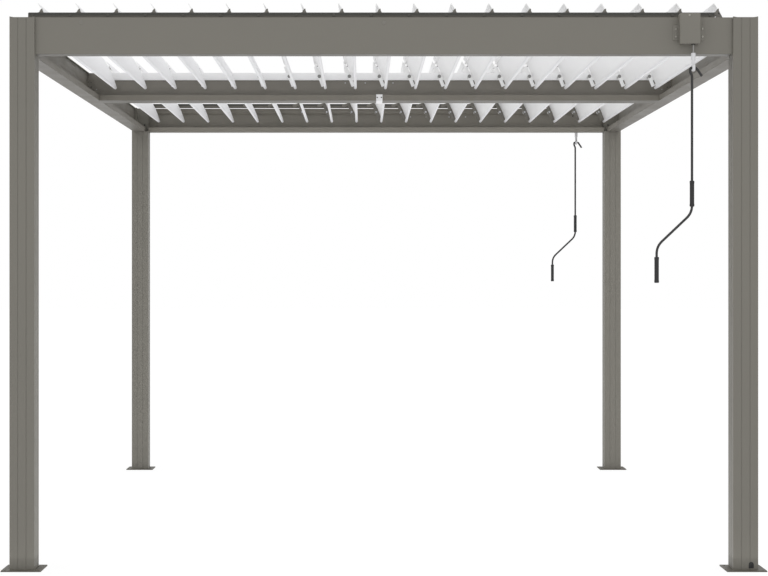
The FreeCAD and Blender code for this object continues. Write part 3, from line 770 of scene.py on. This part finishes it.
def beam_plug(x):
    """A round plug in the beam's outer face, domed by 1.6 mm."""
    profile = [(0.0085, -0.0005), (0.0085, 0.0004), (0.0078, 0.0011), (0.0050, 0.0015),
               (0.0010, 0.0016)]
    return turned(profile, (x, BEAM_FACE, PLUG_HEIGHT), 1, plug_grey)


make_piece("beam_plugs", "frame", both_bays([beam_plug(0.0), beam_plug(-DRIVE_X)]))


def bracket_screws():
    """A small screw beside each angle bracket, and dark ones in its legs, at the back right."""
    shells = [screw((1.4400, MIDDLE_WALL, 2.1350), 1, 1, 0.0026, 0.0016, zinc)]
    for z in BRACKET_SCREW_HEIGHTS:
        shells.append(screw((1.4670, 0.010, z), 1, 1, 0.0034, 0.0020, bolt_dark))
        shells.append(screw((1.4810, 0.026, z), 0, -1, 0.0034, 0.0020, bolt_dark))
    return shells


make_piece("bracket_screws", "frame", both_sides(both_bays(bracket_screws())))


def wall_screws():
    """Small screws in the middle beam's front wall and in the back beam's inner wall, and a
    black grommet by the driven louver in the outer wall of each bay."""
    shells = [screw((x, -MIDDLE_WALL, MIDDLE_SCREW_HEIGHT), 1, -1, 0.0036, 0.0022, zinc)
              for x in MIDDLE_SCREWS]
    shells += [screw((x, WALL_INSIDE, BACK_SCREW_HEIGHT), 1, -1, 0.0040, 0.0024, zinc)
               for x in BACK_SCREWS]
    for way in (-1, 1):
        grommet = [(0.0040, -way * 0.0004), (0.0042, way * 0.0008), (0.0036, way * 0.0016),
                   (0.0010, way * 0.0017)]
        shells.append(turned(grommet, (DRIVE_X, -way * WALL_INSIDE, GROMMET_HEIGHT), 1,
                             outlet_black, 20))
    return shells


make_piece("wall_screws", "frame", wall_screws())


def centre_clip():
    """The white strap round the middle beam: its section hooks over both lips and runs across
    below the floor, with two dark screws in each side."""
    outside, face, hook = LIP_FACE + STRAP_SHEET, LIP_FACE + STRAP_GAP, LIP_FACE - STRAP_SHEET
    low, floor = BEAM_BOTTOM - STRAP_SHEET, BEAM_BOTTOM - STRAP_GAP
    over, high = BEAM_BOTTOM + 0.028 + STRAP_GAP, BEAM_BOTTOM + 0.031
    section = [(-outside, low), (outside, low), (outside, high), (hook, high), (hook, over),
               (face, over), (face, floor), (-face, floor), (-face, over), (-hook, over),
               (-hook, high), (-outside, high)]
    shells = [slab(rounded(section, 0.0010), -STRAP_HALF, STRAP_HALF, 0, clip_white, 0.0005)]
    for x in (-STRAP_SCREW_SIDE, STRAP_SCREW_SIDE):
        for way in (1, -1):
            shells.append(screw((x, way * outside, STRAP_SCREW_HEIGHT), 1, way, 0.0034, 0.0016,
                                dark_zinc))
    return shells


make_piece("centre_clip_moulding", "frame", centre_clip(), ("centre_clip",))


# Gear boxes

def gear_box():
    """The back gear box: a folded cover with rounded front edges, screwed ears behind it, a
    set screw near its top and a bush where the worm's shaft leaves it."""
    low_x, high_x = BOX_X - BOX_HALF, BOX_X + BOX_HALF
    cover = rounded([(low_x, BOX_LOW), (high_x, BOX_LOW), (high_x, BOX_HIGH),
                     (low_x, BOX_HIGH)], 0.0045)
    ears = rounded([(low_x - EAR_REACH, EAR_LOW), (high_x + EAR_REACH, EAR_LOW),
                    (high_x + EAR_REACH, EAR_HIGH), (low_x - EAR_REACH, EAR_HIGH)], 0.003)
    worm_bush = [(0.0075, 0.0010), (0.0080, -0.0004), (0.0080, -0.0022), (0.0070, -0.0030),
                 (0.0045, -0.0030)]
    shells = [slab(cover, BEAM_FACE, BOX_FACE, 1, box_coat, 0.0024, 0.0003),
              slab(ears, BEAM_FACE, BEAM_FACE + EAR_DEPTH, 1, box_coat, 0.0008, 0.0002),
              screw((SET_SCREW_X, BOX_FACE, SET_SCREW_HEIGHT), 1, 1, 0.0044, 0.0020, ear_zinc),
              turned(worm_bush, (WORM_X, WORM_Y, BOX_LOW), 2, outlet_black)]
    for x in (low_x - EAR_SCREW_LEFT, high_x + EAR_SCREW_RIGHT):
        for z in EAR_SCREW_HEIGHTS:
            shells.append(screw((x, BEAM_FACE + EAR_DEPTH, z), 1, 1, 0.0040, 0.0026, ear_zinc))
    return shells


make_piece("gear_box_covers", "frame", both_bays(gear_box()), ("gear_boxes",))


# Crank eyes and cranks

def squarish(part):
    """A sine or cosine raised to a power below one with its sign kept, which turns a circle
    into a rounded square."""
    return np.sign(part) * np.abs(part) ** EYE_SQUARENESS


def crank_eye():
    """The worm's bare shaft, a white socket that narrows downwards, its square neck and the ring
    eye, whose section is a rounded square carried round the hole."""
    shaft = pin_profile(WORM_RADIUS, SOCKET_HIGH - 0.001, BOX_LOW + 0.0116)
    socket = [(0.0040, SOCKET_HIGH), (0.0080, SOCKET_HIGH), (0.0089, SOCKET_HIGH - 0.0008),
              (0.0090, SOCKET_HIGH - 0.0025), (0.0087, SOCKET_LOW + 0.004),
              (0.0082, SOCKET_LOW + 0.0015), (0.0070, SOCKET_LOW), (0.0030, SOCKET_LOW - 0.0005)]
    low_x, high_x = WORM_X - EYE_HALF, WORM_X + EYE_HALF
    low_y, high_y = WORM_Y - EYE_HALF, WORM_Y + EYE_HALF
    neck = rounded([(low_x, low_y), (high_x, low_y), (high_x, high_y), (low_x, high_y)], 0.0025)
    around, section = once_round(48), once_round(20)
    reach = ((EYE_OUTSIDE + EYE_HOLE) / 2
             + (EYE_OUTSIDE - EYE_HOLE) / 2 * squarish(np.cos(section)))
    sideways = WORM_X + EYE_HALF * squarish(np.sin(section))
    rings = np.stack([np.broadcast_to(sideways, (len(around), len(section))),
                      WORM_Y + np.outer(np.cos(around), reach),
                      EYE_Z + np.outer(np.sin(around), reach)], -1)
    return [turned(shaft, (WORM_X, WORM_Y, 0), 2, shaft_steel),
            turned(socket, (WORM_X, WORM_Y, 0), 2, eye_white, 36),
            slab(neck, EYE_Z + 0.0115, SOCKET_LOW + 0.0008, 2, eye_white, 0.0004),
            shell(rings, eye_white, looped=True)]


make_pair("crank_eye_socket", "crank_eye", crank_eye())


def bent_rod(corners, ease):
    """A round rod along a line with eased corners: each corner is a parabola from its ease
    before it to its ease after it, and circles stand square to the line."""
    corners = np.asarray(corners, float)
    middle = corners[1:-1]
    ease = np.asarray(ease, float)[:, None]
    bends = eased_corners(middle + unit(corners[:-2] - middle) * ease, middle,
                          middle + unit(corners[2:] - middle) * ease, 10)
    first = corners[0] + unit(corners[1] - corners[0]) * np.array([[0.0], [ROD_EDGE]])
    last = corners[-1] + unit(corners[-2] - corners[-1]) * np.array([[ROD_EDGE], [0.0]])
    line = np.concatenate([first, bends, last])
    way = unit(np.gradient(line, axis=0))
    radius = np.full(len(line), ROD_RADIUS)
    radius[[0, -1]] -= ROD_EDGE
    angle = once_round(24)
    across = radius[:, None] * np.cos(angle)
    return np.stack([line[:, :1] - across * way[:, 1:],
                     WORM_Y + radius[:, None] * np.sin(angle),
                     line[:, 1:] + across * way[:, :1]], -1)


def grip(x, top):
    """A moulded grip: a straight sleeve with a raised collar and rounded rims at each end."""
    low = top - GRIP_LENGTH
    sleeve = GRIP_RADIUS - 0.0006
    profile = [(0.0052, top), (0.0080, top - 0.0004), (GRIP_RADIUS, top - 0.0022),
               (GRIP_RADIUS, top - 0.0100), (sleeve, top - 0.0108), (sleeve, low + 0.0108),
               (GRIP_RADIUS, low + 0.0100), (GRIP_RADIUS, low + 0.0022), (0.0080, low + 0.0004),
               (0.0052, low)]
    return turned(profile, (x, WORM_Y, 0), 2, grip_rubber, 36)


def crank():
    """The back crank: a hook through the eye, a long rod, an offset arm and two grips."""
    hook_left = WORM_X - EYE_HALF - 0.007
    hook_right = WORM_X + EYE_HALF + 0.006
    corners = [(WORM_X + 0.034, ROD_Z - 0.033), (hook_right, ROD_Z), (hook_left, ROD_Z),
               (hook_left, ROD_Z - 0.016), (ROD_X, ROD_Z - 0.030), (ROD_X, ARM_HIGH),
               (GRIP_X, ARM_LOW), (GRIP_X, LOWER_GRIP - GRIP_LENGTH / 2)]
    ease = [HOOK_EASE] * 4 + [ARM_EASE] * 2
    return [shell(bent_rod(corners, ease), crank_coat), grip(ROD_X, UPPER_GRIP),
            grip(GRIP_X, LOWER_GRIP)]


make_pair("crank_rod", "crank_handle", crank())


# Drain outlet

def drain_outlet():
    """The arched outlet on the front right post: an arched frame and, set back in it, a round
    spout mouth."""
    x, low, half, face = 1.472, 0.011, 0.010, -POST_FACE
    arch = np.concatenate([[(x - half, low), (x + half, low)],
                           arc(x, low + 0.015, half, 0, 180, 16)])
    mouth = [(0.0070, 0.0002), (0.0072, -0.0012), (0.0066, -0.0019), (0.0058, -0.0019),
             (0.0052, -0.0008), (0.0010, -0.0006)]
    return [slab(arch, face - 0.0012, face, 1, outlet_black, 0.0004),
            turned(mouth, (x, face - 0.0002, low + 0.0135), 1, outlet_black)]


make_piece("drain_outlet_mouth", "frame", drain_outlet(), ("drain_outlet",))


# Finishes of the frame's own nodes

def dress(node, finish):
    """Puts a finish on every material slot of a node of the frame."""
    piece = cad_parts[node]
    for slot in piece.material_slots:
        slot.material = finish


for node, finish in (("beam_front", front_coat), ("beam_back", back_coat),
                     ("beam_left", side_coat), ("beam_right", side_coat),
                     ("beam_middle", middle_coat), ("beam_brackets", bracket_coat),
                     ("post_caps", cap_coat), ("base_plates", foot_coat),
                     ("post_front_left", post_coat), ("post_front_right", post_coat),
                     ("post_back_left", back_post_coat), ("post_back_right", back_post_coat)):
    dress(node, finish)


# Floor, light and camera

WHITE = (1, 1, 1, 1)


def white_rays(tree):
    """1 for a ray from the camera, from a gloss or through glass, and 0 for light itself."""
    path = tree.nodes.new("ShaderNodeLightPath")
    seen = path.outputs["Is Camera Ray"]
    for other in ("Is Glossy Ray", "Is Transmission Ray"):
        most = tree.nodes.new("ShaderNodeMath")
        most.operation = "MAXIMUM"
        tree.links.new(seen, most.inputs[0])
        tree.links.new(path.outputs[other], most.inputs[1])
        seen = most.outputs[0]
    return seen


def white_light(node, strength):
    """The output of an emission or background node set to white of that strength."""
    node.inputs["Color"].default_value = WHITE
    node.inputs["Strength"].default_value = strength
    return node.outputs[0]


def mixed_surface(tree, output, share, first, second):
    """The output's surface: the first shader at a share of 0, and the second at 1."""
    mix = tree.nodes.new("ShaderNodeMixShader")
    for socket, source in zip(mix.inputs, (share, first, second)):
        tree.links.new(source, socket)
    tree.links.new(mix.outputs[0], tree.nodes[output].inputs["Surface"])


def pale_floor(half, level, glow, glow_share):
    """A wide floor that looks white to the camera and still takes a soft shadow: matt paint of
    a level, with a share of white glow over it where white rays see it."""
    mesh = bpy.data.meshes.new("floor")
    mesh.from_pydata([(-half, -half, 0), (half, -half, 0), (half, half, 0), (-half, half, 0)],
                     [], [(0, 1, 2, 3)])
    floor = bpy.data.objects.new("floor", mesh)
    bpy.context.scene.collection.objects.link(floor)
    finish = bpy.data.materials.new("pale_floor")
    finish.use_nodes = True
    tree = finish.node_tree
    shader = tree.nodes["Principled BSDF"]
    shader.inputs["Base Color"].default_value = (level, level, level, 1)
    shader.inputs["Roughness"].default_value = 0.9
    share = tree.nodes.new("ShaderNodeMath")
    share.operation = "MULTIPLY"
    tree.links.new(white_rays(tree), share.inputs[0])
    share.inputs[1].default_value = glow_share
    mixed_surface(tree, "Material Output", share.outputs[0], shader.outputs[0],
                  white_light(tree.nodes.new("ShaderNodeEmission"), glow))
    mesh.materials.append(finish)


def white_world(level):
    """Pure white behind the object, and even light of a level on it."""
    world = bpy.data.worlds.new("white_studio")
    bpy.context.scene.world = world
    world.use_nodes = True
    tree = world.node_tree
    mixed_surface(tree, "World Output", white_rays(tree),
                  white_light(tree.nodes["Background"], level),
                  white_light(tree.nodes.new("ShaderNodeBackground"), 1.0))


def soft_lamp(name, place, aim, size, power):
    """A wide square lamp at a place, turned to shine at its aim."""
    lamp = bpy.data.lights.new(name, "AREA")
    lamp.shape = "SQUARE"
    lamp.size = size
    lamp.energy = power
    piece = bpy.data.objects.new(name, lamp)
    bpy.context.scene.collection.objects.link(piece)
    way = np.array(aim, float) - np.array(place, float)
    piece.location = place
    piece.rotation_euler = (math.atan2(math.hypot(way[0], way[1]), -way[2]), 0,
                            math.atan2(-way[0], way[1]))
    piece.visible_camera = False


pale_floor(half=60, level=0.93, glow=1.04, glow_share=0.86)
white_world(level=0.96)
soft_lamp("top_lamp", place=(0.0, -0.8, 6.5), aim=(0, 0, 2.2), size=5.0, power=18)
soft_lamp("floor_lamp", place=(0.0, -0.3, 0.05), aim=(0, -0.3, 2.2), size=3.6, power=10)

camera = bpy.data.cameras.new("camera")
camera.lens = 85.875
camera.sensor_width = 36
camera.shift_x = 0.02833
camera.shift_y = -0.0125
viewer = bpy.data.objects.new("camera", camera)
viewer.location = (-0.0865, -9.34, 1.172)
viewer.rotation_euler = (math.radians(90), 0, 0)
bpy.context.scene.collection.objects.link(viewer)
bpy.context.scene.camera = viewer
bpy.context.scene.view_settings.view_transform = "Standard"
